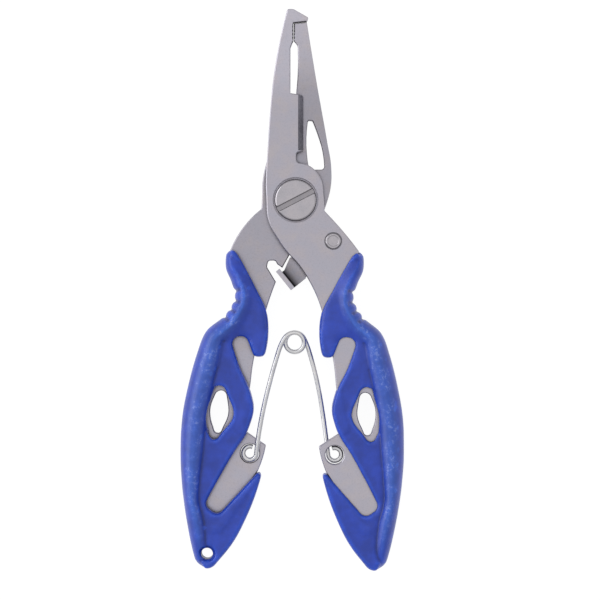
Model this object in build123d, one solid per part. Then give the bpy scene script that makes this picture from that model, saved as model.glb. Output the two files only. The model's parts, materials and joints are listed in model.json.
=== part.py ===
from build123d import *
from collections import Counter
import math
import os

# Fishing pliers, drawn closed and lying flat with the jaws along +Y and the pivot axis up.
# The two stamped plates slide on each other at z = 0, the front plate above and the rear
# plate below. Places are measured from the pivot until the last step, which moves the whole
# tool so that the middle of its underside is the origin.

# Driving dimensions, in millimetres and degrees.

# stamped plates
plate_thick = 2.0
plate_gap = 0.06  # running gap between the two plates
edge_break = 0.2  # rolled-over rim of each plate face
bend_start = 23.6  # the jaws are set over from here outwards
front_bend_end = 27.3
rear_bend_end = 29.6
bend_radius = 2.0
handle_turn = 1.52  # how far the left handle sits from a true mirror image of the right

# cutting blade and gripping nose
blade_edge = 1.6  # how far the front blade reaches over the rear one
blade_low = 10.6
blade_high = 22.0
bevel_width = 1.07
blade_land = 0.25  # steel left at the cutting edge
gap_left = -1.09
nose_left = -0.58
nose_right = -0.11
teeth_left = -0.47
teeth_right = -0.39
teeth_length = 3.75  # gripping face, from the hook down
slot_length = 2.05  # slot between the noses, from the hook down
tooth_drop = 0.85  # middle of the first groove, from the hook down
tooth_pitch = 0.79
tooth_radius = 0.27
tooth_count = 5
tooth_sides = 8  # flats round each groove
slot_sink = 1.3  # depth of the grooves and of the slots round the nose
hook_end_x = 2.45  # outer end of the hook
hook_under = 37.85  # underside of the hook, at its inner end
crown_rise = 3.03  # top of the nose above that
hook_rise = 0.33  # how much higher its underside is at the outer end
hook_gap = 0.08  # steel to steel under the hook, below the slot
hook_slot = 0.33  # the slot under the hook

# pivot screw and nut
head_dia = 8.9
head_thick = 1.3
head_proud = 0.2
head_bevel = 0.35
head_seat_dia = 9.7
head_play = 0.05
shoulder_dia = 6.0
shoulder_play = 0.05
thread_dia = 4.0
thread_play = 0.03
slot_width = 1.1
slot_depth = 0.7
slot_angle = 27.4
nut_dia = 8.9
nut_thick = 1.1
nut_play = 0.03

# lock lever and its rivet
rivet_x = 8.02
rivet_y = -8.73
rivet_shank = 2.2
rivet_play = 0.05
rivet_head_dia = 3.4
rivet_head_thick = 0.35
rivet_bevel = 0.2
rivet_sink_dia = 3.8
rivet_sink = 0.25
rivet_dish_dia = 2.3
rivet_dish = 0.15
rivet_foot_dia = 4.0
rivet_foot_thick = 0.6
lever_thick = 1.0
lever_play = 0.04
lever_eye = 2.6  # radius of the lever round its rivet
lever_reach = 12.6  # from the rivet to the inner face of the thumb tab
lever_aim = 215.8  # direction of the thumb tab seen from the rivet, hooked
tab_rise = 3.0  # top of the thumb tab above the sliding face
tab_bend = 0.6
hook_end = -2.6  # tab ends along its own length, from the middle of its direction
strip_end = -1.75
tab_end = 2.5
hook_bite = 0.6  # how far the hook passes the tooth when locked
hook_clear = 0.12  # how far it stands clear of the tooth as drawn

# moulded grips
grip_thick = 8.6
web_thick = 5.8
web_break = 0.5
roll_sides = 14  # flats round the roll
roll_turn = 10.0  # the most that the roll turns in one run of flats
rib_start = 9.9  # first thumb groove, along the outer edge
rib_pitch = 1.98
rib_count = 4
rib_radius = 0.6
rib_depth = 0.4
rib_sides = 10  # flats round each groove

# spring and the holes that hold it
wire_dia = 1.0
wire_sides = 8  # flats round the wire
coil_x = -0.19
coil_y = -30.4
coil_radius = 2.0  # to the middle of the wire
coil_top = 2.15  # height of the wire over the coil middle, where each leg sets off
coil_pitch = 1.6
knee_right = 3.0  # where each leg straightens, to the side of and below the coil middle
knee_left = 3.35
knee_drop = 1.6
knee_depth = 1.15
leg_slope = 0.31
eye_x = 8.34
eye_y = -54.27
eye_hole_dia = 4.0
eye_radius = 1.4  # to the middle of the wire
eye_pitch = 1.6
eye_start = 186.0  # direction from the eye to where the leg runs into it
eye_turn = 285.0
wire_play = 0.1  # between the wire and the face of the plate that it lies on

# lanyard hole in the left grip
lanyard_x = 16.85
lanyard_y = -75.75
lanyard_dia = 2.5
lanyard_land_dia = 3.6  # flat ring round each end of the hole
lanyard_land_sides = 14
lanyard_wall = 4.4  # depth of plastic between the two flat rings

# Places that follow from the sizes above.
front_low = plate_gap / 2
front_top = front_low + plate_thick
rear_top = -plate_gap / 2
rear_low = rear_top - plate_thick
jaw_shift = front_low + plate_thick / 2
nose_top = plate_thick / 2
crown = hook_under + crown_rise
teeth_low = hook_under - teeth_length
teeth_high = hook_under - slot_length
first_tooth = hook_under - tooth_drop
lever_top = front_low - lever_play
lever_low = lever_top - lever_thick
web_half = web_thick / 2
reach = 14 * grip_thick  # longer than the tool


def tangent_arc(here, heading, there):
    """An arc that leaves here along heading and ends there, or a line where it is straight."""
    if heading.cross((there - here).normalized()).length < 0.001:
        return Edge.make_line(here, there)
    return Edge.make_tangent_arc(here, heading, there)


def biarc(here, heading, there, arrival):
    """Two arcs that leave here along heading, meet smoothly and reach there along arrival."""
    span = there - here
    along = span.dot(heading + arrival)
    bend = 2 * (1 - heading.dot(arrival))
    arm = span.dot(span) / (math.sqrt(along**2 + bend * span.dot(span)) + along)
    first = here + heading * arm
    last = there - arrival * arm
    middle = (first + last) * 0.5
    return [tangent_arc(here, heading, middle), tangent_arc(middle, last - first, there)]


def headings(spots):
    """Which way a smooth curve through the spots runs at each: along the circle through three."""
    runs = [there - here for here, there in zip(spots, spots[1:])]
    steps = [run * (1 / run.length**2) for run in runs]
    middle = [(back + on).normalized() for back, on in zip(steps, steps[1:])]
    first, last = runs[0].normalized(), runs[-1].normalized()
    start = first * (2 * first.dot(middle[0])) - middle[0]
    end = last * (2 * last.dot(middle[-1])) - middle[-1]
    return [start, *middle, end]


def run_of_arcs(points):
    """Arcs that run smoothly through three points or more."""
    spots = [Vector(*point) for point in points]
    ways = headings(spots)
    arcs = []
    for n in range(len(spots) - 1):
        arcs += biarc(spots[n], ways[n], spots[n + 1], ways[n + 1])
    return arcs


def outline(start, *stretches, corners=()):
    """A closed face. A stretch of one point is straight, and one of more is a smooth curve.

    Each corner is a point on the outline and the radius that rounds it.
    """
    edges = []
    here = start
    for stretch in stretches:
        points = [here, *stretch]
        edges += [Line(*points)] if len(points) == 2 else run_of_arcs(points)
        here = points[-1]
    face = make_face(edges)
    for point, radius in corners:
        face = fillet(face.vertices().sort_by_distance(point)[0], radius)
    return face


def loop(*points):
    """A face inside one smooth closed curve."""
    ring = [Vector(*point) for point in (points[-1], *points, *points[:2])]
    ways = headings(ring)
    arcs = []
    for n in range(1, len(ring) - 2):
        arcs += biarc(ring[n], ways[n], ring[n + 1], ways[n + 1])
    return make_face(arcs)


def prism(face, low, high):
    return extrude(Pos(0, 0, low) * face, high - low)


def disc(x, y, radius, low, high):
    return prism(Pos(x, y) * Circle(radius), low, high)


def left_hand(shape):
    """Takes a piece of the right handle to its place on the left handle."""
    return Rot(0, 0, -handle_turn) * mirror(shape, Plane.YZ)


def left_points(stretches):
    """The same for the points of an outline."""
    turn = math.radians(handle_turn)
    c, s = math.cos(turn), math.sin(turn)
    return [[(s * y - c * x, s * x + c * y) for x, y in points] for points in stretches]


def rim(solid, up):
    """The edges round the upper (up = 1) or lower (up = -1) face of a plate."""
    faces = [f for f in solid.faces() if f.normal_at().Z * up > 0.3]
    uses = Counter(edge for face in faces for edge in face.edges())
    return [edge for edge, count in uses.items() if count == 1]


def jaw_sheet(low, shift, bend_end):
    """A wide sheet whose jaw end is set over by shift between the two bends."""
    side = Polyline(
        (-reach, low),
        (bend_start, low),
        (bend_end, low + shift),
        (reach, low + shift),
        (reach, low + shift + plate_thick),
        (bend_end, low + shift + plate_thick),
        (bend_start, low + plate_thick),
        (-reach, low + plate_thick),
        close=True,
    )
    face = make_face(side)
    bends = [v for v in face.vertices() if abs(v.X) < reach / 2]
    return extrude(Plane.YZ * fillet(bends, bend_radius), reach, both=True)


def stamped(face, low, shift, bend_end):
    """A plate cut to an outline, set over at the jaw, with its rims rolled over."""
    plate = prism(face, -reach, reach) & jaw_sheet(low, shift, bend_end)
    return chamfer(rim(plate, 1) + rim(plate, -1), edge_break)


def tooth_grooves(x):
    """The row of rounded grooves across the gripping face at x."""
    rows = [first_tooth - n * tooth_pitch for n in range(tooth_count)]
    groove = RegularPolygon(tooth_radius, tooth_sides)
    return [prism(Pos(x, y) * groove, nose_top - slot_sink, reach) for y in rows]


ear = (4.95, -52.5)
tang_foot = (17.6, -70.6)
tang_heel = (14.3, -70.2)


def tang_run(crotch):
    """Edge of the steel inside the right grip, from the shoulder round to the crotch."""
    return [
        [(11.4, -19.5)],
        [(16.2, -31.0)],
        [(19.3, -47.0)],
        [tang_foot],
        [tang_heel],
        [(6.5, -58.0)],
        [(5.5, -55.1), ear],
        [(10.6, -48.8)],
        [(8.9, -41.5), (8.1, -34.6), (6.5, -27.0), *crotch],
    ]


tang_corners = [(ear, 0.4), (tang_foot, 1.8), (tang_heel, 1.8)]


def tang_window():
    return loop(
        (15.2, -41.1),
        (13.2, -44.6),
        (13.9, -48.1),
        (15.6, -50.1),
        (16.5, -48.5),
        (16.6, -43.2),
    )


def tang_holes():
    return tang_window() + Pos(eye_x, eye_y) * Circle(eye_hole_dia / 2)


def front_outline():
    """Hooked nose, blade and pivot eye of the front plate, and the tang in the right grip."""
    nose = (-1.75, crown)
    hook = (2.8, crown - 1.9)
    blade_tip = (blade_edge, 22.35)
    notch_top = (0.1, 10.0)
    notch_foot = (0.1, 7.95)
    shoulder = (6.15, -2.3)
    grip_end = (13.5, -10.9)
    left_side = [
        (4.6, -20.7),
        (1.8, -15.4),
        (-3.3, -9.1),
        (-5.7, -4.6),
        (-6.25, 1.0),
        (-5.9, 12.0),
        (-3.75, 32.2),
        nose,
    ]
    return outline(
        nose,
        [(-0.4, crown - 0.08)],
        [hook],
        [(hook_end_x, hook_under + hook_rise)],
        [(teeth_left, hook_under)],
        [(teeth_left, teeth_low)],
        [(gap_left, teeth_low - 1.6)],
        [(gap_left, 22.75)],
        [blade_tip],
        [(blade_edge, blade_low)],
        [notch_top],
        [notch_foot],
        [(3.1, 7.2), (5.3, 4.7), (5.95, 1.0), shoulder],
        [(8.65, -4.95), grip_end],
        *tang_run(left_side),
        corners=[
            (nose, 0.6),
            (hook, 0.35),
            (blade_tip, 0.4),
            (notch_top, 0.6),
            (notch_foot, 0.8),
            (shoulder, 0.8),
            *tang_corners,
        ],
    )


def rear_outline():
    """Right jaw, lock tooth and pivot eye of the rear plate, and the tang in the left grip."""
    tooth = (-2.85, -14.4)
    notch_right = (-4.3, -12.85)
    notch_left = (-5.85, -12.85)
    notch_low = (-6.15, -14.2)
    shoulder = (-7.3, -1.8)
    crotch = [(5.0, -21.2), (3.75, -17.5)]
    tang = left_points(tang_run(crotch))
    nose = (teeth_right, hook_under - hook_gap)
    return outline(
        nose,
        [(teeth_right, teeth_low)],
        [(0.45, teeth_low - 1.1)],
        [(0.5, teeth_low - 6.1), (0.05, 21.5), (-0.1, 15.0)],
        [(0.0, 9.6)],
        [(-6.2, 8.2)],
        [(-7.0, 4.6), (-7.2, 0.1), shoulder],
        [(-11.9, -6.7), (-14.2, -11.2)],
        *tang,
        [notch_low],
        [notch_left],
        [notch_right],
        [(-3.95, -13.6)],
        [tooth],
        [(0.3, -8.8)],
        [
            (4.2, -6.2),
            (6.3, -1.65),
            (7.6, 3.4),
            (7.6, 7.5),
            (6.7, 12.9),
            (4.2, hook_under - 10.85),
            (2.4, hook_under + hook_rise - hook_gap),
        ],
        [nose],
        corners=[
            (shoulder, 0.8),
            (notch_low, 0.7),
            (notch_left, 0.6),
            (notch_right, 0.6),
            *zip(left_points([[p for p, r in tang_corners]])[0], [r for p, r in tang_corners]),
        ],
    )


def jaw_window():
    """Drop-shaped window in the right jaw."""
    top_left, top_right = (2.65, 17.1), (3.6, 17.0)
    low_right, low_left = (6.15, 6.6), (2.9, 6.6)
    return outline(
        top_left,
        [top_right],
        [(4.75, 14.0), (5.7, 10.8), low_right],
        [low_left],
        [(2.35, 11.0), top_left],
        corners=[(top_left, 0.35), (top_right, 0.35), (low_right, 0.7), (low_left, 0.4)],
    )


def blade_bevel():
    """What the grinding wheel takes off the front blade."""
    top = front_top + 1.0
    slope = (plate_thick - blade_land) / bevel_width
    wedge = Polyline(
        (blade_edge - bevel_width, front_top),
        (blade_edge, front_low + blade_land),
        (blade_edge + 1.0, front_low + blade_land - slope),
        (blade_edge + 1.0, top),
        (blade_edge - bevel_width, top),
        close=True,
    )
    length = blade_high + 1.2 - blade_low
    face = Plane.XZ.offset(-(blade_high + 1.2)) * make_face(wedge)
    return extrude(face, length)


def relief(inner, outer):
    """Slot in the upper face that keeps the noses apart above the teeth."""
    low, high = teeth_high, hook_under
    wide = outer - inner
    slot = Pos(inner + wide / 2, (low + high) / 2) * Rectangle(wide, high - low)
    return prism(slot, nose_top - slot_sink, reach)


def hook_relief():
    """Slot in the upper face of the rear nose, along the underside of the hook."""
    low, high = hook_under - hook_slot, hook_under + 1.0
    inner, outer = teeth_right - 1.0, 3.5
    rise = hook_rise / (hook_end_x - teeth_left)
    slot = Polyline(
        (inner, low + rise * (inner - teeth_left)),
        (outer, low + rise * (outer - teeth_left)),
        (outer, high),
        (inner, high),
        close=True,
    )
    return prism(make_face(slot), nose_top - slot_sink, reach)


def front_plate():
    outline_face = front_outline() - tang_holes()
    plate = stamped(outline_face, front_low, -jaw_shift, front_bend_end)
    seat = front_top - (head_thick - head_proud)
    plate -= disc(0, 0, head_seat_dia / 2, seat, reach)
    plate -= disc(0, 0, shoulder_dia / 2 + shoulder_play, -reach, reach)
    plate -= disc(rivet_x, rivet_y, rivet_shank / 2, -reach, reach)
    plate -= disc(rivet_x, rivet_y, rivet_sink_dia / 2, front_top - rivet_sink, reach)
    return plate - blade_bevel() - relief(nose_left, teeth_left) - tooth_grooves(teeth_left)


def rear_plate():
    outline_face = rear_outline() - jaw_window() - left_hand(tang_holes())
    plate = stamped(outline_face, rear_low, jaw_shift, rear_bend_end)
    plate -= disc(0, 0, nut_dia / 2 + nut_play, -reach, rear_low + nut_thick)
    plate -= disc(0, 0, shoulder_dia / 2 + thread_play, -reach, reach)
    plate -= relief(teeth_right, nose_right)
    return plate - hook_relief() - tooth_grooves(teeth_right)


def pivot_screw():
    """Slotted head, a shoulder that both plates turn on, and a threaded end."""
    seat = front_top - (head_thick - head_proud) + head_play
    head_top = seat + head_thick
    nut_face = rear_low + nut_thick
    head = disc(0, 0, head_dia / 2, seat, head_top)
    head = chamfer(head.edges().group_by(Axis.Z)[-1], head_bevel)
    slot = Rot(0, 0, slot_angle) * Box(2 * head_dia, slot_width, 2 * slot_depth)
    shoulder = disc(0, 0, shoulder_dia / 2, nut_face, seat)
    thread = disc(0, 0, thread_dia / 2, rear_low, nut_face)
    return head - Pos(0, 0, head_top) * slot + shoulder + thread


def pivot_nut():
    """Round nut let into the back of the rear plate."""
    nut = disc(0, 0, nut_dia / 2, rear_low, rear_low + nut_thick)
    return nut - disc(0, 0, thread_dia / 2 + thread_play, -reach, reach)


def lock_rivet():
    """Peened head in a shallow sink, a shank, and a flat foot under the lever."""
    sink = front_top - rivet_sink
    foot = lever_low - lever_play
    head = disc(rivet_x, rivet_y, rivet_head_dia / 2, sink, sink + rivet_head_thick)
    head = chamfer(head.edges().group_by(Axis.Z)[-1], rivet_bevel)
    dish = disc(
        rivet_x, rivet_y, rivet_dish_dia / 2, sink + rivet_head_thick - rivet_dish, reach
    )
    shank = disc(rivet_x, rivet_y, rivet_shank / 2, foot, sink)
    base = disc(rivet_x, rivet_y, rivet_foot_dia / 2, foot - rivet_foot_thick, foot)
    return head - dish + shank + base


def lock_lever():
    """Strip that swings on the rivet, with a bent-up thumb tab whose end is the hook."""
    at_rivet = Pos(rivet_x, rivet_y) * Rot(0, 0, lever_aim)
    # Here x runs from the rivet to the tab, and y along the tab; hooking is towards -y.
    strip = outline(
        (lever_reach, tab_end),
        [(lever_reach - 3.6, tab_end - 0.2)],
        [(6.0, 2.4), (3.0, 2.9), (0.0, lever_eye)],
        [(-lever_eye, 0.0), (0.0, -lever_eye)],
        [(4.0, -lever_eye), (8.0, -2.6), (lever_reach - 3.2, -3.1)],
        [(lever_reach - 0.6, strip_end)],
        [(lever_reach, strip_end)],
        [(lever_reach, tab_end)],
    )
    strip = prism(strip - Circle(rivet_shank / 2 + rivet_play), lever_low, lever_top)
    heel = tab_bend + lever_thick
    bend = Polyline(
        (lever_reach - 2 * heel, lever_low),
        (lever_reach + lever_thick, lever_low),
        (lever_reach + lever_thick, tab_rise),
        (lever_reach, tab_rise),
        (lever_reach, lever_top),
        (lever_reach - 2 * heel, lever_top),
        close=True,
    )
    bend = make_face(bend)
    outer = bend.vertices().sort_by_distance((lever_reach + lever_thick, lever_low))[0]
    bend = fillet(outer, heel)
    inner = bend.vertices().sort_by_distance((lever_reach, lever_top))[0]
    bend = fillet(inner, tab_bend)
    tab = extrude(Plane.XZ.offset(-tab_end) * bend, tab_end - hook_end)
    slit = Pos(lever_reach, 0) * Rectangle(
        2 * heel, strip_end - hook_end, align=(Align.MAX, Align.MIN)
    )
    tab -= prism(Pos(0, hook_end) * slit, -reach, reach)
    hooked = at_rivet * (strip + tab)
    swing = math.degrees((hook_bite + hook_clear) / (lever_reach + lever_thick / 2))
    return hooked.rotate(Axis((rivet_x, rivet_y, 0), (0, 0, 1)), swing)


# One line for each cross-section of the outer roll of the grip, going down the handle:
# place on the outer edge, half width and share of the full thickness.
roll_sections = [
    (14.3, -11.3, 0.85, 0.42),
    (14.6, -12.9, 1.3, 0.62),
    (14.4, -15.2, 1.65, 0.72),
    (13.2, -17.9, 1.9, 0.80),
    (12.45, -21.2, 2.1, 0.88),
    (14.5, -25.0, 2.3, 0.95),
    (18.3, -28.4, 2.5, 1.0),
    (20.2, -33.3, 2.95, 1.0),
    (21.8, -39.7, 3.05, 1.0),
    (22.95, -46.5, 3.05, 1.0),
    (23.2, -54.0, 2.9, 1.0),
    (22.75, -60.5, 2.35, 0.98),
    (22.15, -65.0, 2.0, 0.95),
    (21.35, -69.5, 2.2, 0.90),
    (20.1, -75.0, 1.9, 0.76),
    (19.0, -78.0, 1.2, 0.5),
]
roll_top = (13.45, -10.75)
roll_end = (17.3, -79.15)


def roll_stations():
    """Place, heading, half width and share at each cross-section of the roll.

    Where the edge turns quickly, there is one more half way between two of them.
    """
    spots = [Vector(*roll_top), *[Vector(x, y) for x, y, *rest in roll_sections], Vector(*roll_end)]
    ways = headings(spots)
    stations = []
    for n, (x, y, half, share) in enumerate(roll_sections, start=1):
        turn = math.degrees(math.acos(ways[n - 1].dot(ways[n])))
        if stations and turn > roll_turn:
            joint = biarc(spots[n - 1], ways[n - 1], spots[n], ways[n])[0]
            half_way = (stations[-1][2] + half) / 2
            share_way = (stations[-1][3] + share) / 2
            stations.append((joint @ 1, joint % 1, half_way, share_way))
        stations.append((spots[n], ways[n], half, share))
    return stations


def roll_ring(spot, heading, half, share):
    """The corner points of one cross-section of the roll, an oval in flats."""
    inward = Vector(heading.Y, -heading.X)
    angles = [2 * math.pi * (n + 0.5) / roll_sides for n in range(roll_sides)]
    high = share * grip_thick / 2 / max(math.sin(angle) for angle in angles)
    ring = []
    for angle in angles:
        across = inward * (half * (1 + math.cos(angle)))
        ring.append(spot + across + Vector(0, 0, high * math.sin(angle)))
    return ring


def outer_roll():
    """The thick rounded roll down the outer side of the right grip, closed to a point at each end."""
    top = [Vector(*roll_top)] * roll_sides
    end = [Vector(*roll_end)] * roll_sides
    rings = [top, *[roll_ring(*station) for station in roll_stations()], end]
    flats = []
    for ring, following in zip(rings, rings[1:]):
        for n in range(roll_sides):
            a, b = ring[n - 1], ring[n]
            c, d = following[n], following[n - 1]
            if a != b:
                flats.append(Face(Wire.make_polygon([a, b, c])))
            if c != d:
                flats.append(Face(Wire.make_polygon([a, c, d])))
    return Solid(Shell(flats))


spike = (5.3, -56.8)
window_foot = (14.8, -67.6)
window_heel = (17.75, -65.5)
window_head = (13.2, -29.3)
lobe_root = (9.7, -29.3)
lobe_tip = (8.0, -33.6)
lobe_edge = (5.8, -33.6)
grip_top = (12.4, -11.3)


def inner_side():
    """The visible inner side of the right grip, from its foot up to its top."""
    return [
        [(15.75, -78.75), (14.1, -76.9), (12.2, -74.5), (8.2, -66.7), spike],
        [window_foot],
        [window_heel],
        [
            (12.3, -55.1),
            (8.6, -48.6),
            (7.75, -44.6),
            (8.5, -41.2),
            (11.2, -35.3),
            window_head,
        ],
        [lobe_root],
        [lobe_tip],
        [lobe_edge],
        [
            (5.05, -28.0),
            (5.5, -24.2),
            (8.2, -18.6),
            grip_top,
        ],
        [roll_top],
    ]


inner_corners = [
    (spike, 0.6),
    (window_foot, 1.4),
    (window_heel, 1.4),
    (window_head, 1.6),
    (lobe_root, 1.4),
    (lobe_tip, 1.05),
    (lobe_edge, 1.05),
    (grip_top, 0.8),
]


def grip_web():
    """The thinner body of the right grip, with a break along its visible rims."""
    # Its outer side is a few straight runs, all inside the roll.
    inside = []
    for spot, heading, half, share in roll_stations()[::3]:
        middle = spot + Vector(heading.Y, -heading.X) * half
        inside.append((middle.X, middle.Y))
    runs = [[point] for point in (*inside, roll_end)]
    face = outline(roll_end, *inner_side(), *runs, corners=inner_corners)
    web = prism(face, -web_half, web_half)
    hidden = [roll_top, *inside, roll_end]
    rims = web.edges().filter_by(lambda edge: abs(abs(edge.center().Z) - web_half) < 0.01)
    sides = [Line(here, there) @ 0.5 for here, there in zip(hidden, hidden[1:])]
    seen = [e for e in rims if all((Vector(e.center().X, e.center().Y) - m).length > 0.05 for m in sides)]
    return chamfer(seen, web_break)


def grip_window():
    return loop(
        (15.2, -39.9),
        (12.9, -42.9),
        (12.0, -46.0),
        (14.0, -49.4),
        (16.4, -51.35),
        (17.45, -49.5),
        (17.2, -43.3),
    )


def thumb_grooves():
    """Rounded grooves across the outer edge, where the thumb rests."""
    edge = Wire(run_of_arcs([roll_top, *[s[:2] for s in roll_sections], roll_end]))
    grooves = []
    for n in range(rib_count):
        along = (rib_start + n * rib_pitch) / edge.length
        spot = edge @ along
        heading = edge % along
        outward = Vector(-heading.Y, heading.X)
        middle = spot + outward * (rib_radius - rib_depth)
        groove = Pos(middle.X, middle.Y) * RegularPolygon(rib_radius, rib_sides)
        grooves.append(prism(groove, -reach, reach))
    return grooves


def grip():
    """A right grip without its pocket: web and roll, windowed and grooved."""
    foot = (16.6, -78.6)
    face = outline(
        foot,
        *inner_side(),
        [(12.5, 0.0)],
        [(40.0, 0.0)],
        [(40.0, -85.0)],
        [(16.6, -85.0)],
        [foot],
        corners=inner_corners,
    )
    roll = outer_roll() & prism(face, -grip_thick, grip_thick)
    window = prism(grip_window(), -reach, reach)
    return grip_web() + roll - window - thumb_grooves()


def right_grip():
    """The right grip, moulded round the tang of the front plate."""
    return grip() - prism(front_outline(), front_low, front_top)


def left_grip():
    """The left grip, moulded round the tang of the rear plate, with a lanyard hole at its foot."""
    hole = disc(lanyard_x, lanyard_y, lanyard_dia / 2, -reach, reach)
    ring = RegularPolygon(lanyard_land_dia / 2, lanyard_land_sides)
    land = prism(Pos(lanyard_x, lanyard_y) * ring, lanyard_wall / 2, reach)
    bored = left_hand(grip() - hole - land - mirror(land, Plane.XY))
    return bored - prism(rear_outline(), rear_low, rear_top)


def half_spring(knee_out, eye_out, eye_up):
    """Points and headings of the wire, from the bottom of the coil to the end of one eye.

    Measured from the middle of the coil, for the half whose leg lies low.
    """
    steep = coil_pitch / (2 * math.pi)
    half_pitch = coil_pitch / 2
    wire = [
        (Vector(0, -coil_radius, 0), Vector(-coil_radius, 0, -steep)),
        (Vector(-coil_radius, 0, -half_pitch / 2), Vector(0, coil_radius, -steep)),
        (Vector(0, coil_top, -half_pitch), Vector(coil_radius, 0, -steep)),
        (Vector(knee_out, -knee_drop, -knee_depth), Vector(leg_slope, -1, 0)),
    ]
    low = -(wire_dia / 2 + wire_play)
    steps = math.ceil(eye_turn / 180)
    for n in range(steps + 1):
        turned = eye_turn * n / steps
        angle = math.radians(eye_start + turned)
        c, s = math.cos(angle), math.sin(angle)
        rise = low + eye_pitch * turned / 360
        place = Vector(eye_out + eye_radius * c, eye_up + eye_radius * s, rise)
        wire.append((place, Vector(-eye_radius * s, eye_radius * c, eye_pitch / (2 * math.pi))))
    return [(place, heading.normalized()) for place, heading in wire]


def spring_wire():
    """The middle line of the whole spring, from the left eye over the coil to the right eye."""
    left_eye = left_points([[(eye_x, eye_y)]])[0][0]
    right = half_spring(knee_right, eye_x - coil_x, eye_y - coil_y)
    left = half_spring(knee_left, coil_x - left_eye[0], left_eye[1] - coil_y)
    # The left half is the same wire turned half round about the line up the page, run backwards.
    left = [
        (Vector(-place.X, place.Y, -place.Z), Vector(heading.X, -heading.Y, heading.Z))
        for place, heading in reversed(left[1:])
    ]
    stations = left + right
    edges = []
    for (here, heading), (there, arrival) in zip(stations, stations[1:]):
        edges += biarc(here, heading, there, arrival)
    return Pos(coil_x, coil_y) * Wire(edges)


def torsion_spring():
    """Round wire with a coil between the handles and an eye in each plate."""
    wire = spring_wire()
    section = RegularPolygon(wire_dia / 2, wire_sides)
    return sweep(Plane(wire @ 0, z_dir=wire % 0) * section, path=wire, clean=False)


def least_gap():
    """The smallest space that the spring leaves between one stretch of its wire and another."""
    wire = spring_wire()
    count = math.ceil(wire.length / (wire_dia / 4))
    points = [wire @ (n / count) for n in range(count + 1)]
    apart = 12  # a stretch three wire diameters long is not compared with itself
    nearest = min(
        (points[a] - points[b]).length
        for a in range(len(points))
        for b in range(a + apart, len(points))
    )
    return nearest - wire_dia


pieces = {
    "front_plate": front_plate(),
    "rear_plate": rear_plate(),
    "right_grip": right_grip(),
    "left_grip": left_grip(),
    "pivot_screw": pivot_screw(),
    "pivot_nut": pivot_nut(),
    "lock_lever": lock_lever(),
    "lock_rivet": lock_rivet(),
    "torsion_spring": torsion_spring(),
}
print("least gap of the spring to itself", round(least_gap(), 3))

box = Compound(children=[Part() + piece for piece in pieces.values()]).bounding_box()
print("pivot axis stands at", round(-box.center().X, 4), round(-box.center().Y, 4))
print("sliding face stands at", round(-box.min.Z, 4))
os.makedirs("parts", exist_ok=True)
for name, piece in pieces.items():
    placed = Pos(-box.center().X, -box.center().Y, -box.min.Z) * piece
    export_step(placed, f"parts/{name}.step")
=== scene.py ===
import json
import math

import bmesh
import bpy
from mathutils import Matrix, Vector
from mathutils.kdtree import KDTree


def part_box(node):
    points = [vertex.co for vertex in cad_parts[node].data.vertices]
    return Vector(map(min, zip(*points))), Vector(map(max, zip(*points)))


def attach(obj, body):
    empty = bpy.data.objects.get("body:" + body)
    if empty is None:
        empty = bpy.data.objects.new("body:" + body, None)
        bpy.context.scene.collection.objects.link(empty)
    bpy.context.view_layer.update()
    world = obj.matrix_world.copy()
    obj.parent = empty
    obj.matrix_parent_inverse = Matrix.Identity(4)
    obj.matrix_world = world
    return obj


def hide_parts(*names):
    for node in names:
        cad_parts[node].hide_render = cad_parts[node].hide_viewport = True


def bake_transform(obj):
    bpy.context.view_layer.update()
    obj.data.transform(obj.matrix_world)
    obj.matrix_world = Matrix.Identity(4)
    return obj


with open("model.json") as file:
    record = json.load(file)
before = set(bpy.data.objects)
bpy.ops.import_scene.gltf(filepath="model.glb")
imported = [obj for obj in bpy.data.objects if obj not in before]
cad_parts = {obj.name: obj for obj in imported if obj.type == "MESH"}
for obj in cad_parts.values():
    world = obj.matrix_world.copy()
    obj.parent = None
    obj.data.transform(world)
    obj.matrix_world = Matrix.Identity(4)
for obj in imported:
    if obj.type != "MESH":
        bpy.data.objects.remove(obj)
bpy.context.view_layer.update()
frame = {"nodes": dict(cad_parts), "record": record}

mm = 0.001
nodes = frame["nodes"]
joints = {joint["name"]: joint for joint in frame["record"]["behaviour"]["joints"]}
# middle of the pivot screw, on the sliding face of the two plates
pivot = Vector(joints["jaw_pivot"]["pos_m"])
# how far the left handle sits from a true mirror image of the right
handleTurn = math.radians(1.52)

# from metres in the frame to millimetres from the pivot, seen as the right handle
toRight = Matrix.Scale(1 / mm, 4) @ Matrix.Translation(-pivot)
toLeft = Matrix.Scale(-1, 4, (1, 0, 0)) @ Matrix.Rotation(handleTurn, 4, "Z") @ toRight


def fromHex(text):
    # sRGB hex to the linear colour that the shaders work in
    parts = [int(text[n:n + 2], 16) / 255 for n in (1, 3, 5)]
    return tuple(c / 12.92 if c <= 0.04045 else ((c + 0.055) / 1.055) ** 2.4 for c in parts) + (1,)


def grey(value):
    return (value, value, value, 1)


def addNode(tree, kind, values=None, links=None, **settings):
    node = tree.nodes.new(kind)
    for name, value in settings.items():
        setattr(node, name, value)
    for name, value in (values or {}).items():
        node.inputs[name].default_value = value
    for name, socket in (links or {}).items():
        tree.links.new(socket, node.inputs[name])
    return node


def newMaterial(name):
    material = bpy.data.materials.new(name)
    material.use_nodes = True
    material.node_tree.nodes.clear()
    return material, material.node_tree


def setStops(ramp, stops):
    while len(ramp.elements) < len(stops):
        ramp.elements.new(0.5)
    for element, (place, colour) in zip(ramp.elements, stops):
        element.position = place
        element.color = colour


def smoothStep(low, high, value):
    share = min(1.0, max(0.0, (value - low) / (high - low)))
    return share * share * (3 - 2 * share)


def newPiece(name, mesh, body, material, slot, *replaced):
    piece = bpy.data.objects.new(name, mesh)
    bpy.context.collection.objects.link(piece)
    mesh.materials.clear()
    mesh.materials.append(material)
    if body:
        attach(piece, body)
    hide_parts(*replaced)
    return piece


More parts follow.
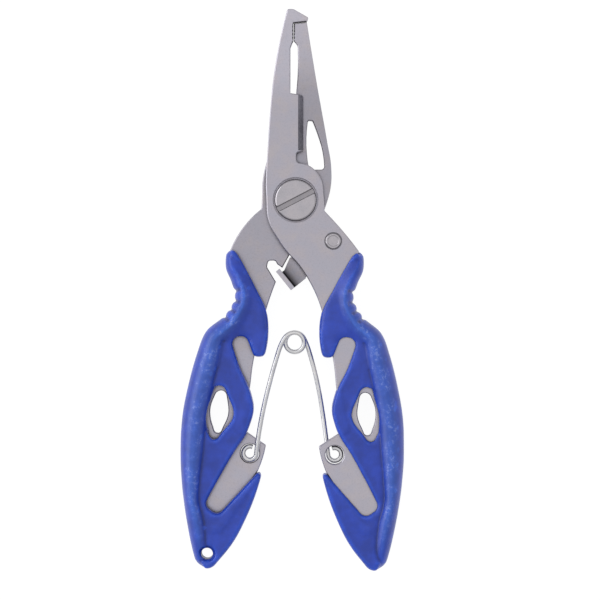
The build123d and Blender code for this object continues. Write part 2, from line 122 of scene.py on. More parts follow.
def mergedForm(node):
    # a CAD node's loose triangles, merged into one closed skin with flat faces
    form = bmesh.new()
    form.from_mesh(nodes[node].data)
    bmesh.ops.remove_doubles(form, verts=form.verts, dist=0.0005 * mm)
    bmesh.ops.dissolve_limit(form, angle_limit=math.radians(0.3), verts=form.verts, edges=form.edges,
                             use_dissolve_boundaries=False)
    return form


def roundedCopy(node, name, body, material, slot, rounding, sharpest=24):
    # a merged copy with its sharp rims rounded over a little, so that they catch the light
    form = mergedForm(node)
    rims = [edge for edge in form.edges
            if len(edge.link_faces) == 2 and edge.calc_face_angle() > math.radians(sharpest)]
    bmesh.ops.bevel(form, geom=rims, offset=rounding * mm, offset_type="OFFSET", affect="EDGES", segments=2,
                    profile=0.5, material=-1, clamp_overlap=True)
    mesh = bpy.data.meshes.new(name)
    form.to_mesh(mesh)
    form.free()
    mesh.shade_smooth()
    mesh.set_sharp_from_angle(angle=math.radians(38))
    piece = newPiece(name, mesh, body, material, slot, node)
    flatter = piece.modifiers.new("flatter", "WEIGHTED_NORMAL")
    flatter.keep_sharp = True
    return piece


def paintedRecessShade(tree, look):
    # painted shade: darkening where faces meet at an inner corner, as a grey to multiply by
    occlusion = addNode(tree, "ShaderNodeAmbientOcclusion", {"Distance": look["reach"] * mm}, samples=6)
    shade = addNode(tree, "ShaderNodeValToRGB", links={"Fac": occlusion.outputs["AO"]})
    setStops(shade.color_ramp, [(place, grey(tone)) for place, tone in look["recessShade"]])
    return shade.outputs["Color"]


def paintedShadeAlong(tree, place, look):
    # painted shade along the metal's axis: how bright the metal is painted at each place, as a grey to multiply
    # by
    angle = math.radians(look["axis"])
    axis = Vector((math.cos(angle), math.sin(angle), 0))
    along = addNode(tree, "ShaderNodeVectorMath", {1: axis}, {0: place}, operation="DOT_PRODUCT")
    low, high = look["shadeTones"][0][0], look["shadeTones"][-1][0]
    start = pivot.dot(axis)
    share = addNode(tree, "ShaderNodeMapRange", {"From Min": start + low * mm, "From Max": start + high * mm},
                    {"Value": along.outputs["Value"]})
    paintedLight = addNode(tree, "ShaderNodeValToRGB", links={"Fac": share.outputs["Result"]})
    setStops(paintedLight.color_ramp, [((at - low) / (high - low), grey(tone)) for at, tone in look["shadeTones"]])
    return paintedLight.outputs["Color"]


def blurredBends(tree):
    # tumbling blurs the shallow set-over bends of the jaws: faces within 16 degrees of flat shade as flat
    normal = addNode(tree, "ShaderNodeNewGeometry").outputs["Normal"]
    rise = addNode(tree, "ShaderNodeSeparateXYZ", links={"Vector": normal}).outputs["Z"]
    flatness = addNode(tree, "ShaderNodeMath", links={0: rise}, operation="ABSOLUTE")
    flat = addNode(tree, "ShaderNodeMapRange", {"From Min": 0.94, "From Max": 0.962},
                   {"Value": flatness.outputs[0]}, interpolation_type="SMOOTHSTEP")
    side = addNode(tree, "ShaderNodeMath", links={0: rise}, operation="SIGN")
    upright = addNode(tree, "ShaderNodeCombineXYZ", links={"Z": side.outputs[0]})
    blurred = addNode(tree, "ShaderNodeMix", data_type="VECTOR",
                      links={0: flat.outputs["Result"], 4: normal, 5: upright.outputs[0]})
    return blurred.outputs[1]


def sheetSteel(name, look):
    # stainless sheet, stamped and tumbled: satin, with faint cloudy patches and fine grit, painted shade along
    # its axis that leaves the ends paler, and painted shade in inner corners
    material, tree = newMaterial(name)
    place = addNode(tree, "ShaderNodeTexCoord").outputs["Object"]
    cloud = addNode(tree, "ShaderNodeTexNoise", links={"Vector": place},
                    values={"Scale": 1 / (look["cloud"] * mm), "Detail": 4, "Roughness": 0.6})
    grit = addNode(tree, "ShaderNodeTexNoise", links={"Vector": place},
                   values={"Scale": 1 / (look["grit"] * mm), "Detail": 2, "Roughness": 0.6})
    tint = addNode(tree, "ShaderNodeValToRGB", links={"Fac": cloud.outputs["Fac"]})
    setStops(tint.color_ramp, [(0.34, fromHex(look["cool"])), (0.5, fromHex(look["mid"])),
                                (0.66, fromHex(look["warm"]))])
    speck = addNode(tree, "ShaderNodeValToRGB", links={"Fac": grit.outputs["Fac"]})
    setStops(speck.color_ramp, [(0.3, grey(0.9)), (0.5, grey(1.0)), (0.7, grey(1.0))])
    colour = tint.outputs["Color"]
    # grit, then painted shade along the axis and painted shade in inner corners
    for layer in (speck.outputs["Color"], paintedShadeAlong(tree, place, look), paintedRecessShade(tree, look)):
        colour = addNode(tree, "ShaderNodeMix", {0: 1.0}, {6: colour, 7: layer}, data_type="RGBA",
                         blend_type="MULTIPLY").outputs[2]
    rough = addNode(tree, "ShaderNodeMapRange", {"From Min": 0.3, "From Max": 0.7, "To Min": look["smooth"],
                                                 "To Max": look["rough"]}, {"Value": cloud.outputs["Fac"]})
    bump = addNode(tree, "ShaderNodeBump", {"Strength": look["bump"], "Distance": 0.02 * mm},
                   {"Height": grit.outputs["Fac"], "Normal": blurredBends(tree)})
    shader = addNode(tree, "ShaderNodeBsdfPrincipled", {"Metallic": 1.0},
                     {"Base Color": colour, "Roughness": rough.outputs["Result"],
                      "Normal": bump.outputs["Normal"]})
    addNode(tree, "ShaderNodeOutputMaterial", links={"Surface": shader.outputs["BSDF"]})
    return material


# cloud, grit and reach are in mm, and reach is how far the painted shade in corners looks; the real grit is
# finer, and is drawn this coarse so that it shows.
# shadeTones are places from the pivot along the axis, in mm, and the brightness of the painted shade there;
# recessShade gives the painted shade's brightness for how open a corner is
frontLook = {
    "cloud": 3.5, "grit": 0.3, "cool": "#b2b0bb", "mid": "#b6b2bc", "warm": "#bcb6bc",
    "smooth": 0.32, "rough": 0.42, "bump": 0.2,
    "reach": 0.9, "recessShade": [(0.14, 0.03), (0.32, 0.16), (0.55, 0.72), (0.8, 1.0)],
    "axis": 90, "shadeTones": [(-60, 0.98), (-25, 0.92), (-12, 0.88), (20, 0.86), (27, 0.98), (40, 1.0)],
}
rearLook = {
    **frontLook,
    # painted shade: the rear plate is darkest round the pivot, where it lies under the front plate
    "shadeTones": [(-60, 0.98), (-25, 0.9), (-14, 0.8), (18, 0.7), (24, 0.74), (31, 0.9), (40, 0.96)],
}
# the blade's bevel is ground after stamping, and its colour is painted darker, as painted shade for a slope
# that turns from the light; the seat of the screw head is turned, and has a tighter, darker painted shade in
# its corner
bevelShadeLook = {
    **frontLook, "cloud": 0.6, "cool": "#85848e", "mid": "#8d8c95", "warm": "#96949e",
    "shadeTones": [(-60, 0.9), (10, 0.75), (23, 1.0), (40, 1.0)],
}
# painted shade in the seat's corner, darker and closer than on the plate
seatLook = {**frontLook, "reach": 0.4, "recessShade": [(0.05, 0.15), (0.4, 0.8), (0.6, 1.0)]}
# the lever's axis runs from its rivet to the tab; the inside of the bend is painted dark, as painted shade
leverLook = {
    **frontLook, "cloud": 1.5, "axis": 218.95,
    "shadeTones": [(-4, 0.8), (8.4, 0.78), (10.4, 0.5), (11.5, 0.1), (11.8, 0.08), (11.95, 0.95), (13, 0.95)],
}
turnedLook = {
    "cloud": 2.5, "grit": 0.25, "cool": "#aeabb1", "mid": "#b4b0b6", "warm": "#bab5ba",
    "smooth": 0.28, "rough": 0.38, "bump": 0.15,
    "reach": 0.4, "recessShade": [(0.04, 0.2), (0.3, 0.85), (0.4, 1.0)],
    "axis": 90, "shadeTones": [(-30, 0.9), (10, 0.9)],
}
# painted shade: the floor of the screw's slot is painted darker
slotShadeLook = {**turnedLook, "shadeTones": [(-30, 0.66), (10, 0.66)]}
wireLook = {
    "cloud": 3, "grit": 0.2, "cool": "#c4c4c8", "mid": "#d0d0d2", "warm": "#d8d6d6",
    "smooth": 0.28, "rough": 0.36, "bump": 0.1,
    "reach": 0.5, "recessShade": [(0.2, 0.3), (0.7, 1.0)],
    "axis": 90, "shadeTones": [(-60, 1.0), (0, 1.0)],
}
frontSteel = sheetSteel("stampedStainlessFront", frontLook)
rearSteel = sheetSteel("stampedStainlessRear", rearLook)
leverSteel = sheetSteel("stampedStainlessLever", leverLook)
turnedSteel = sheetSteel("turnedNickelledSteel", turnedLook)
springSteel = sheetSteel("drawnSpringSteel", wireLook)
bevelShadeSteel = sheetSteel("groundBevelPaintedShade", bevelShadeLook)
seatSteel = sheetSteel("turnedSeatPaintedShade", seatLook)
slotShadeSteel = sheetSteel("slotFloorPaintedShade", slotShadeLook)


def finishFaces(piece, material, chosen):
    # the faces of a piece that have a finish of their own
    piece.data.materials.append(material)
    for face in piece.data.polygons:
        if face.material_index == 0 and chosen(face):
            face.material_index = len(piece.data.materials) - 1


steelPieces = {}
for node, name, body, material, slot, rounding in (
    ("front_plate", "frontPlate", "front_half", frontSteel, "stamped_steel", 0.05),
    ("rear_plate", "rearPlate", "rear_half", rearSteel, "stamped_steel", 0.05),
    ("lock_lever", "lockLever", "lock_lever", leverSteel, "lever_steel", 0.24),
    ("pivot_screw", "pivotScrew", "rear_half", turnedSteel, "screw_steel", 0.16),
    ("pivot_nut", "pivotNut", "rear_half", turnedSteel, "screw_steel", 0.08),
    ("lock_rivet", "lockRivet", "front_half", turnedSteel, "screw_steel", 0.08),
):
    steelPieces[name] = roundedCopy(node, name, body, material, slot, rounding)


def onBladeBevel(face):
    # the only broad slope on the front plate
    smallest = 0.8
    return face.normal.x > 0.8 and 0.4 < face.normal.z < 0.65 and face.area > smallest * mm * mm


def onScrewSeat(face):
    seatRadius = 4.95
    return (face.center - pivot).xy.length < seatRadius * mm


headTop = max(vert.co.z for vert in steelPieces["pivotScrew"].data.vertices)


def onSlotFloor(face):
    # milled below the flat top of the head
    shallowest, deepest = 0.2, 1.5
    return face.normal.z > 0.9 and headTop - deepest * mm < face.center.z < headTop - shallowest * mm


# the blade's bevel, the seat round the screw head and the floor of the screw's slot each get their own painted
# shade
finishFaces(steelPieces["frontPlate"], bevelShadeSteel, onBladeBevel)
finishFaces(steelPieces["frontPlate"], seatSteel, onScrewSeat)
finishFaces(steelPieces["pivotScrew"], slotShadeSteel, onSlotFloor)
print("steel parts done")


# one wire with a coil and two eyes; places are in mm from the pivot, and knees are the bends above the legs
springForm = {
    "wire": 1.0, "coilAt": (-0.19, -30.4), "coilRadius": 2.0, "coilTop": 2.15, "coilPitch": 1.6,
    "kneeRight": 3.0, "kneeLeft": 3.35, "kneeDrop": 1.6, "kneeDepth": 1.15, "legSlope": 0.31,
    "eyeAt": (8.34, -54.27), "eyeRadius": 1.4, "eyePitch": 1.6, "eyeStart": 186.0, "eyeTurn": 285.0,
    "play": 0.1,  # between the wire and the face of the plate that it lies on
    # inwards and upwards from the middle of an eye, for the place at the end of a leg
    "legEnd": (0.6, 2.4),
    # how far to each side of the coil its places reach
    "coilReach": 300,
}


def arcPoints(here, heading, there, step=0.12):
    # points along the arc that leaves here along heading and ends there, without the first one
    chord = there - here
    heading = heading.normalized()
    side = chord - heading * chord.dot(heading)
    if side.length < 1e-4:
        return [here.lerp(there, n / 8) for n in range(1, 9)]
    side.normalize()
    turn = 2 * heading.angle(chord)
    radius = chord.length / (2 * math.sin(turn / 2))
    count = min(60, max(4, math.ceil(radius * turn / step)))
    return [here + radius * (math.sin(turn * n / count) * heading + (1 - math.cos(turn * n / count)) * side)
            for n in range(1, count + 1)]


def twoArcs(here, heading, there, arrival):
    # two arcs that leave here along heading, meet smoothly and reach there along arrival
    span = there - here
    along = span.dot(heading + arrival)
    bend = 2 * (1 - heading.dot(arrival))
    arm = span.dot(span) / (math.sqrt(along ** 2 + bend * span.dot(span)) + along)
    first = here + heading * arm
    last = there - arrival * arm
    middle = (first + last) / 2
    return arcPoints(here, heading, middle) + arcPoints(middle, last - first, there)


def halfSpring(form, kneeOut, eyeOut, eyeUp):
    # places and headings from the bottom of the coil to the end of one eye, for the half whose leg lies low
    radius, pitch = form["coilRadius"], form["coilPitch"]
    steep = pitch / (2 * math.pi)
    wire = [
        (Vector((0, -radius, 0)), Vector((-radius, 0, -steep))),
        (Vector((-radius, 0, -pitch / 4)), Vector((0, radius, -steep))),
        (Vector((0, form["coilTop"], -pitch / 2)), Vector((radius, 0, -steep))),
        (Vector((kneeOut, -form["kneeDrop"], -form["kneeDepth"])), Vector((form["legSlope"], -1, 0))),
    ]
    steps = math.ceil(form["eyeTurn"] / 180)
    for n in range(steps + 1):
        turned = form["eyeTurn"] * n / steps
        angle = math.radians(form["eyeStart"] + turned)
        rise = -(form["wire"] / 2 + form["play"]) + form["eyePitch"] * turned / 360
        ring = form["eyeRadius"]
        outward, upward = ring * math.cos(angle), ring * math.sin(angle)
        wire.append((Vector((eyeOut + outward, eyeUp + upward, rise)),
                     Vector((-upward, outward, form["eyePitch"] / (2 * math.pi)))))
    return [(place, heading.normalized()) for place, heading in wire]


def leftPoint(x, y):
    # where the left handle has the point that the right one has at x, y
    c, s = math.cos(handleTurn), math.sin(handleTurn)
    return (s * y - c * x, s * x + c * y)


def runOf(stations):
    # points along the wire that passes all its stations smoothly
    points = [stations[0][0]]
    for (here, heading), (there, arrival) in zip(stations, stations[1:]):
        points += twoArcs(here, heading, there, arrival)
    return points


def wireMesh(name, points, form):
    # round wire along the points, closed at both ends
    line = bpy.data.curves.new(name, "CURVE")
    line.dimensions = "3D"
    spline = line.splines.new("POLY")
    spline.points.add(len(points) - 1)
    middle = Vector((form["coilAt"][0], form["coilAt"][1], 0))
    for point, place in zip(spline.points, points):
        point.co = (*(pivot + (place + middle) * mm), 1)
    line.bevel_depth = form["wire"] / 2 * mm
    line.bevel_resolution = 5
    line.use_fill_caps = True
    holder = bpy.data.objects.new(name, line)
    bpy.context.collection.objects.link(holder)
    mesh = bpy.data.meshes.new_from_object(holder)
    bpy.data.objects.remove(holder)
    wire = bmesh.new()
    wire.from_mesh(mesh)
    bmesh.ops.remove_doubles(wire, verts=wire.verts, dist=0.001 * mm)
    bmesh.ops.recalc_face_normals(wire, faces=wire.faces)
    wire.to_mesh(mesh)
    wire.free()
    mesh.shade_smooth()
    mesh.set_sharp_from_angle(angle=math.radians(50))
    return mesh


coilX, coilY = springForm["coilAt"]
eyeX, eyeY = springForm["eyeAt"]
leftEyeX, leftEyeY = leftPoint(eyeX, eyeY)
rightHalf = halfSpring(springForm, springForm["kneeRight"], eyeX - coilX, eyeY - coilY)
leftHalf = halfSpring(springForm, springForm["kneeLeft"], coilX - leftEyeX, leftEyeY - coilY)
leftHalf = [(Vector((-place.x, place.y, -place.z)), Vector((heading.x, -heading.y, heading.z)))
            for place, heading in reversed(leftHalf)]
# the knees are the fourth places from the bottom of the coil on each side
leftLeg, rightLeg = leftHalf[:-3], rightHalf[3:]
coil = leftHalf[-4:] + rightHalf[1:4]


# places at each leg's eye and past its knee, and at both sides of the coil, listed with each piece
endIn, endUp = springForm["legEnd"]
leftEnd, rightEnd = (leftEyeX + endIn, leftEyeY + endUp), (eyeX - endIn, eyeY + endUp)
kneeY = coilY - springForm["kneeDrop"]
pastLeft = (2 * (coilX - springForm["kneeLeft"]) - leftEnd[0], 2 * kneeY - leftEnd[1])
pastRight = (2 * (coilX + springForm["kneeRight"]) - rightEnd[0], 2 * kneeY - rightEnd[1])
for name, stations, start, end in (
    ("springCoil", coil, (-springForm["coilReach"], coilY), (springForm["coilReach"], coilY)),
    ("springLegLeft", leftLeg, leftEnd, pastLeft),
    ("springLegRight", rightLeg, pastRight, rightEnd),
):
    piece = newPiece(name, wireMesh(name, runOf(stations), springForm), None, springSteel, "spring_steel",
                     "torsion_spring")
    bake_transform(piece)
print("spring done")


gripForm = {
    "voxel": 0.26,
    "softenPasses": 5,
    # the outer edge of the right grip, going down from its top: place from the pivot,
    # then half the width and half the height of the thick roll that runs along it
    "edge": [
        (13.45, -10.75, 0.2, 0.6), (14.3, -11.3, 0.85, 1.81), (14.6, -12.9, 1.3, 2.67),
        (14.4, -15.2, 1.65, 3.1), (13.2, -17.9, 1.9, 3.44), (12.45, -21.2, 2.1, 3.78),
        (14.5, -25.0, 2.3, 4.09), (18.3, -28.4, 2.5, 4.3), (20.2, -33.3, 2.95, 4.3),
        (21.8, -39.7, 3.05, 4.3), (22.95, -46.5, 3.05, 4.3), (23.2, -54.0, 2.9, 4.3),
        (22.75, -60.5, 2.35, 4.21), (22.15, -65.0, 2.0, 4.09), (21.35, -69.5, 2.2, 3.87),
        (20.1, -75.0, 1.9, 3.27), (19.0, -78.0, 1.2, 2.15), (17.3, -79.15, 0.2, 0.6),
    ],
    # the roll's section: 2 would be an ellipse, and less gives it a soft crest
    "crest": 1.85,
    # skin nearer to the true roll than the first is brought to it, and skin past the second stays
    "reach": (0.2, 0.45),
    "ribReach": (0.7, 0.95),  # the same under the thumb ribs
    "endFade": (0.8, 3.2),  # how far from both ends of the edge the true roll fades in
    # the grooves between the thumb ribs: places along the edge from its top, width and depth,
    # where round the roll they fade out, and the part of the roll that they are cut in
    "ribStart": 9.9,
    "ribPitch": 1.98,
    "ribCount": 4,
    "ribWidth": 0.4,
    "ribDepth": 0.42,
    "ribFade": (-0.45, -0.15),
    "ribAcross": (-1.3, 0.3),
    # filling under the ribs: from and to, going in from the edge, and half its height
    "fill": (0.5, 1.9, 2.3),
    # where the roll runs softly into the web: from and to along the handle, from and to across it, passes
    "blends": [(-30.5, -8, 0.1, 3.2, 45), (-36, -30.5, 0.5, 1.9, 14), (-80, -36, 0.75, 1.45, 4)],
    # beyond these places along the handle its ends are smoothed
    "foot": -77.4,
    "head": -11.9,
    "endPasses": 18,
    # raised lip round the windows and along the inner side
    "lipFade": (0.3, 1.3),
    "lipStart": (1.0, 1.6),
    "lipRise": 0.12,
    # where the hidden edge of the steel steps back from the ribs: from and to along the edge,
    # how deep it lies there at most, and by how much it steps back
    "stepAlong": (7, 24),
    "stepWithin": 2.4,
    "stepBack": 1.2,
}


def edgeLine(stations, pieces=24):
    # the smooth line through the stations: place, inward direction, half width, half height, run from the top
    ends = [stations[0], *stations, stations[-1]]
    rows = []
    for before, here, there, after in zip(ends, ends[1:], ends[2:], ends[3:]):
        for n in range(pieces):
            t = n / pieces
            rows.append([0.5 * (2 * b + (c - a) * t + (2 * a - 5 * b + 4 * c - d) * t * t
                                + (3 * b - a - 3 * c + d) * t ** 3)
                         for a, b, c, d in zip(before, here, there, after)])
    line = []
    run = 0
    for last, row, following in zip(rows, rows[1:], rows[2:]):
        heading = Vector((following[0] - last[0], following[1] - last[1], 0)).normalized()
        run += math.hypot(row[0] - last[0], row[1] - last[1])
        line.append((Vector((row[0], row[1], 0)), Vector((heading.y, -heading.x, 0)), row[2], row[3], run))
    return line


gripEdge = edgeLine(gripForm["edge"])
edgeTree = KDTree(len(gripEdge))
for n, station in enumerate(gripEdge):
    edgeTree.insert(station[0], n)
edgeTree.balance()


def onEdge(spot):
    # the edge's nearest place, and how far in from it the spot lies: -1 on the edge, 0 over the roll's middle
    flat = Vector((spot.x, spot.y, 0))
    place, inward, half, high, run = gripEdge[edgeTree.find(flat)[1]]
    return place, inward, half, high, run, (flat - place).dot(inward) / half - 1


def toMiddle(spot, place, inward, half, high):
    # the way from a spot to the roll's middle line, with heights scaled so that the roll is round
    way = place + inward * half - spot
    way.z = -spot.z * half / high
    return way


def ribZone(form, run):
    # 1 along the thumb ribs, 0 away from them
    aside = abs(run - form["ribStart"] - (form["ribCount"] - 1) / 2 * form["ribPitch"])
    return 1 - smoothStep(2.0 * form["ribPitch"], 2.5 * form["ribPitch"], aside)


def soften(skin, verts, passes):
    for n in range(passes):
        bmesh.ops.smooth_vert(skin, verts=verts, factor=0.5, use_axis_x=True, use_axis_y=True, use_axis_z=True)


def filledForm(node, form, fromHandle):
    # the merged solid, with a filling under the thumb ribs, where the skin over the steel is thinnest
    solid = mergedForm(node)
    near, far, tall = form["fill"]
    rings = [[solid.verts.new(fromHandle @ (place + inward * deep + Vector((0, 0, up))))
              for deep, up in ((near, -tall), (near, tall), (far, tall), (far, -tall))]
             for place, inward, half, high, run in gripEdge if ribZone(form, run) == 1]
    filling = [solid.faces.new((one[n], one[n - 1], two[n - 1], two[n]))
               for one, two in zip(rings, rings[1:]) for n in range(4)]
    filling += [solid.faces.new(rings[0]), solid.faces.new(rings[-1])]
    bmesh.ops.recalc_face_normals(solid, faces=filling)
    bmesh.ops.triangulate(solid, faces=solid.faces)
    return solid


def evenMesh(name, solid, voxel):
    # one closed skin of even faces round all that the solid holds
    rough = bpy.data.meshes.new(name)
    solid.to_mesh(rough)
    solid.free()
    holder = bpy.data.objects.new(name, rough)
    bpy.context.collection.objects.link(holder)
    even = holder.modifiers.new("even", "REMESH")
    even.mode = "VOXEL"
    even.voxel_size = voxel * mm
    mesh = bpy.data.meshes.new_from_object(holder.evaluated_get(bpy.context.evaluated_depsgraph_get()))
    bpy.data.objects.remove(holder)
    return mesh


def nearestWall(skin):
    # the upright walls of the skin, for measuring how far a flat spot lies from them
    walls = [vert for vert in skin.verts if abs(vert.normal.z) < 0.4]
    tree = KDTree(len(walls))
    for n, vert in enumerate(walls):
        tree.insert((vert.co.x, vert.co.y, 0), n)
    tree.balance()
    return tree


def shapeRoll(skin, form, toHandle, fromHandle):
    # brings the outer skin of the roll to its true section, and raises the lip round the web
    skin.normal_update()
    walls = nearestWall(skin)
    turn = toHandle.to_3x3()
    crest = form["crest"]
    for vert in skin.verts:
        spot = toHandle @ vert.co
        place, inward, half, high, run, across = onEdge(spot)
        up = spot.z / high
        outside = (turn @ vert.normal).dot(toMiddle(spot, place, inward, half, high)) < 0
        ratio = (abs(across) ** crest + abs(up) ** crest) ** (1 / crest)
        nearRibs = ribZone(form, run) > 0.5 and across < 0
        reach = form["ribReach"] if nearRibs else form["reach"]
        pull = 0
        if outside and ratio >= 0.5:
            pull = 1 - smoothStep(*reach, abs(ratio - 1) * half)
            pull *= smoothStep(*form["endFade"], min(run, gripEdge[-1][4] - run))
        target = place + inward * (half * (1 + across / max(ratio, 0.1)))
        target.z = high * up / max(ratio, 0.1)
        spot = spot.lerp(target, pull)
        if abs(vert.normal.z) > 0.8 and across > form["lipStart"][0]:
            rim = walls.find((vert.co.x, vert.co.y, 0))[2] / mm
            lip = (1 - smoothStep(*form["lipFade"], rim)) * smoothStep(*form["lipStart"], across)
            spot.z += math.copysign(form["lipRise"] * lip, spot.z)
        vert.co = fromHandle @ spot


def blendRoll(skin, form, toHandle):
    # lets the roll run softly into the web, and rounds the ends of the handle
    for low, high, inner, outer, passes in form["blends"]:
        soft = []
        for vert in skin.verts:
            spot = toHandle @ vert.co
            if low < spot.y < high and inner < onEdge(spot)[5] < outer and abs(vert.normal.z) > 0.2:
                soft.append(vert)
        soften(skin, soft, passes)
    ends = [vert for vert in skin.verts if not form["foot"] < (toHandle @ vert.co).y < form["head"]]
    soften(skin, ends, form["endPasses"])


def carveRibs(skin, form, toHandle, fromHandle):
    # the thumb ribs: grooves cut across the outer side of the roll, with round pads between them
    skin.normal_update()
    turn = toHandle.to_3x3()
    outer, inner = form["ribAcross"]
    carved = []
    for vert in skin.verts:
        spot = toHandle @ vert.co
        place, inward, half, high, run, across = onEdge(spot)
        if not outer < across < inner:
            continue
        way = toMiddle(spot, place, inward, half, high)
        if (turn @ vert.normal).dot(way) > 0:
            continue
        nearest = min(abs(run - form["ribStart"] - n * form["ribPitch"]) for n in range(form["ribCount"]))
        groove = math.exp(-(nearest / form["ribWidth"]) ** 2)
        groove *= 1 - smoothStep(*form["ribFade"], across)
        vert.co = fromHandle @ (spot + way.normalized() * form["ribDepth"] * groove)
        if groove > 0.02:
            carved.append(vert)
    soften(skin, carved, 1)


def gripMesh(node, form, toHandle):
    # the solid grip in one even skin, softened as a moulding is
    fromHandle = toHandle.inverted()
    mesh = evenMesh(node + "Rough", filledForm(node, form, fromHandle), form["voxel"])
    skin = bmesh.new()
    skin.from_mesh(mesh)
    soften(skin, skin.verts, form["softenPasses"])
    shapeRoll(skin, form, toHandle, fromHandle)
    soften(skin, skin.verts, 2)
    blendRoll(skin, form, toHandle)
    carveRibs(skin, form, toHandle, fromHandle)
    # the moulding keeps to the size of its solid
    lowest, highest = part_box(node)
    for vert in skin.verts:
        vert.co = [min(max(value, low), high) for value, low, high in zip(vert.co, lowest, highest)]
    skin.to_mesh(mesh)
    skin.free()
    mesh.shade_smooth()
    return mesh


def stepBack(piece, form, toHandle):
    # moves the hidden edge of a plate in from the thumb ribs
    start, end = form["stepAlong"]
    for vert in piece.data.vertices:
        spot = toHandle @ vert.co
        place, inward, half, high, run, across = onEdge(spot)
        if start < run < end and (across + 1) * half < form["stepWithin"]:
            vert.co = toHandle.inverted() @ (spot + inward * form["stepBack"])


# colours of the low parts, the roll with its painted highlight, and the scuffs with their painted glints;
# cloud, grain of the scuffs, orange peel, heights of the web and the roll, and reach of the painted shade in
# corners are in mm
gripLook = {
    "low": "#203fad", "roll": "#3355b6", "scuffGlintColour": "#93a6df", "scuffGlintShare": 0.42, "rough": 0.36,
    "cloud": 3, "grain": 0.7, "orange": 0.5, "webHigh": 2.9, "rollHigh": 4.2,
    "reach": 2.0, "recessShade": [(0.2, 0.35), (0.7, 0.85), (0.95, 1.0)],
    "mottle": [(0.35, grey(0.84)), (0.65, grey(1.14))],
    # rims: painted shade in hollows and a painted highlight on convex rims, by how pointed the skin is
    "rims": [(0.47, grey(0.6)), (0.495, grey(0.92)), (0.505, grey(0.96)), (0.525, (1.15, 1.35, 1.2, 1))],
}


def mouldedPlastic(name, look):
    # polypropylene, injection moulded: satin blue, with a painted highlight on the raised roll and on the rims,
    # painted shade in inner corners, and whitish scuffs with painted glints
    material, tree = newMaterial(name)
    place = addNode(tree, "ShaderNodeTexCoord").outputs["Object"]
    cloud = addNode(tree, "ShaderNodeTexNoise", links={"Vector": place},
                    values={"Scale": 1 / (look["cloud"] * mm), "Detail": 4, "Roughness": 0.6})
    skin = addNode(tree, "ShaderNodeTexNoise", links={"Vector": place},
                   values={"Scale": 1 / (look["orange"] * mm), "Detail": 2})
    fine = addNode(tree, "ShaderNodeTexNoise", links={"Vector": place},
                   values={"Scale": 1 / (look["grain"] * mm), "Detail": 3, "Roughness": 0.7})
    # painted highlight: the roll stands highest above the sliding face, and the higher the skin stands, the
    # paler it is painted
    split = addNode(tree, "ShaderNodeSeparateXYZ", links={"Vector": place})
    above = addNode(tree, "ShaderNodeMath", {1: pivot.z}, {0: split.outputs["Z"]}, operation="SUBTRACT")
    height = addNode(tree, "ShaderNodeMath", links={0: above.outputs[0]}, operation="ABSOLUTE")
    paintedLight = addNode(tree, "ShaderNodeMapRange",
                     {"From Min": look["webHigh"] * mm, "From Max": look["rollHigh"] * mm},
                     {"Value": height.outputs[0]}, interpolation_type="SMOOTHSTEP")
    # whitish scuffs with painted glints, in patches on the high roll
    patch = addNode(tree, "ShaderNodeMapRange", {"From Min": 0.46, "From Max": 0.6},
                    {"Value": cloud.outputs["Fac"]})
    dots = addNode(tree, "ShaderNodeMapRange", {"From Min": 0.5, "From Max": 0.62},
                   {"Value": fine.outputs["Fac"]})
    crest = addNode(tree, "ShaderNodeMath", links={0: paintedLight.outputs["Result"], 1: patch.outputs["Result"]},
                    operation="MULTIPLY")
    scuffGlintMask = addNode(tree, "ShaderNodeMath", links={0: crest.outputs[0], 1: dots.outputs["Result"]},
                     operation="MULTIPLY")
    scuffGlintAmount = addNode(tree, "ShaderNodeMath", {1: look["scuffGlintShare"]}, {0: scuffGlintMask.outputs[0]},
                      operation="MULTIPLY")
    # painted highlight on the convex rims, and painted shade in the hollows and inner corners
    curve = addNode(tree, "ShaderNodeNewGeometry").outputs["Pointiness"]
    rims = addNode(tree, "ShaderNodeValToRGB", links={"Fac": curve})
    setStops(rims.color_ramp, look["rims"])
    mottle = addNode(tree, "ShaderNodeValToRGB", links={"Fac": cloud.outputs["Fac"]})
    setStops(mottle.color_ramp, look["mottle"])
    # the low parts' colour, turning to the roll's paler colour the higher the skin stands: a painted highlight
    # on the roll
    blues = {6: fromHex(look["low"]), 7: fromHex(look["roll"])}
    colour = addNode(tree, "ShaderNodeMix", blues, {0: paintedLight.outputs["Result"]}, data_type="RGBA").outputs[2]
    for layer in (mottle.outputs["Color"], rims.outputs["Color"], paintedRecessShade(tree, look)):
        colour = addNode(tree, "ShaderNodeMix", {0: 1.0}, {6: colour, 7: layer}, data_type="RGBA",
                         blend_type="MULTIPLY").outputs[2]
    scuffedAndGlinting = addNode(tree, "ShaderNodeMix", {7: fromHex(look["scuffGlintColour"])}, {0: scuffGlintAmount.outputs[0], 6: colour},
                   data_type="RGBA")
    bump = addNode(tree, "ShaderNodeBump", {"Strength": 0.2, "Distance": 0.03 * mm},
                   {"Height": skin.outputs["Fac"]})
    shader = addNode(tree, "ShaderNodeBsdfPrincipled", {"IOR": 1.49, "Roughness": look["rough"]},
                     {"Base Color": scuffedAndGlinting.outputs[2], "Normal": bump.outputs["Normal"]})
    addNode(tree, "ShaderNodeOutputMaterial", links={"Surface": shader.outputs["BSDF"]})
    return material


gripPlastic = mouldedPlastic("mouldedPolypropylene", gripLook)
newPiece("rightGrip", gripMesh("right_grip", gripForm, toRight), "front_half", gripPlastic, "grip_plastic",
         "right_grip")
newPiece("leftGrip", gripMesh("left_grip", gripForm, toLeft), "rear_half", gripPlastic, "grip_plastic",
         "left_grip")
stepBack(steelPieces["frontPlate"], gripForm, toRight)
stepBack(steelPieces["rearPlate"], gripForm, toLeft)
print("grips done")


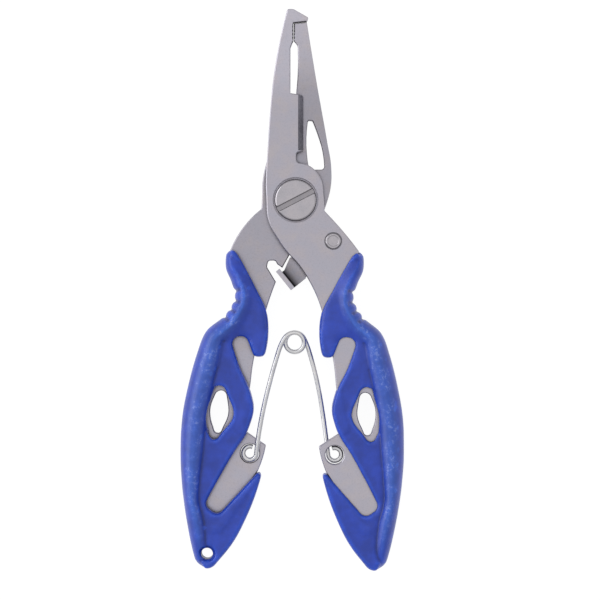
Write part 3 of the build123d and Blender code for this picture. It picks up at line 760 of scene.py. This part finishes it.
cameraPlace = {"x": 1.66, "y": -2.14, "height": 454.3, "lens": 126.3}  # in mm, looking straight down
camera = bpy.data.objects.new("camera", bpy.data.cameras.new("camera"))
bpy.context.collection.objects.link(camera)
camera.location = (cameraPlace["x"] * mm, cameraPlace["y"] * mm, cameraPlace["height"] * mm)
camera.data.lens = cameraPlace["lens"]
camera.data.sensor_width = 36
camera.data.clip_start = 0.01
bpy.context.scene.camera = camera

# places and sizes in metres, power in watts; each lamp faces the object
lamps = {
    "overhead": {"at": (-0.15, 0.3, 1.0), "size": 1.2, "power": 2.0},
    "left": {"at": (-0.8, 0.2, 0.22), "size": 0.9, "power": 5.4},
    "right": {"at": (0.8, 0.1, 0.25), "size": 0.5, "power": 0.4},
}
for name, lamp in lamps.items():
    light = bpy.data.lights.new(name, "AREA")
    light.shape = "SQUARE"
    light.size = lamp["size"]
    light.energy = lamp["power"]
    stand = bpy.data.objects.new(name, light)
    bpy.context.collection.objects.link(stand)
    stand.location = lamp["at"]
    stand.rotation_euler = stand.location.to_track_quat("Z", "Y").to_euler()

studio = {"daylight": 0.66, "floorReach": 1.5, "card": 0.85, "glow": 1.1, "glowShare": 0.86}
world = bpy.data.worlds.new("studio")
bpy.context.scene.world = world
world.use_nodes = True
world.node_tree.nodes["Background"].inputs["Color"].default_value = grey(1.0)
world.node_tree.nodes["Background"].inputs["Strength"].default_value = studio["daylight"]

floorMesh = bpy.data.meshes.new("floor")
floorForm = bmesh.new()
bmesh.ops.create_grid(floorForm, x_segments=1, y_segments=1, size=studio["floorReach"])
floorForm.to_mesh(floorMesh)
floorForm.free()
floor = bpy.data.objects.new("floor", floorMesh)
bpy.context.collection.objects.link(floor)
# matt white card: seen white, also in reflections, and it keeps a faint shadow
floorPaint, tree = newMaterial("matWhiteCard")
ray = addNode(tree, "ShaderNodeLightPath")
seen = addNode(tree, "ShaderNodeMath", links={0: ray.outputs["Is Camera Ray"], 1: ray.outputs["Is Glossy Ray"]},
               operation="MAXIMUM")
share = addNode(tree, "ShaderNodeMath", {1: studio["glowShare"]}, {0: seen.outputs[0]}, operation="MULTIPLY")
card = addNode(tree, "ShaderNodeBsdfDiffuse", {"Color": grey(studio["card"])})
glow = addNode(tree, "ShaderNodeEmission", {"Color": grey(1.0), "Strength": studio["glow"]})
both = addNode(tree, "ShaderNodeMixShader", links={0: share.outputs[0], 1: card.outputs[0], 2: glow.outputs[0]})
addNode(tree, "ShaderNodeOutputMaterial", links={"Surface": both.outputs[0]})
floorMesh.materials.append(floorPaint)

bpy.context.scene.view_settings.view_transform = "Standard"
print("camera, light and floor done")
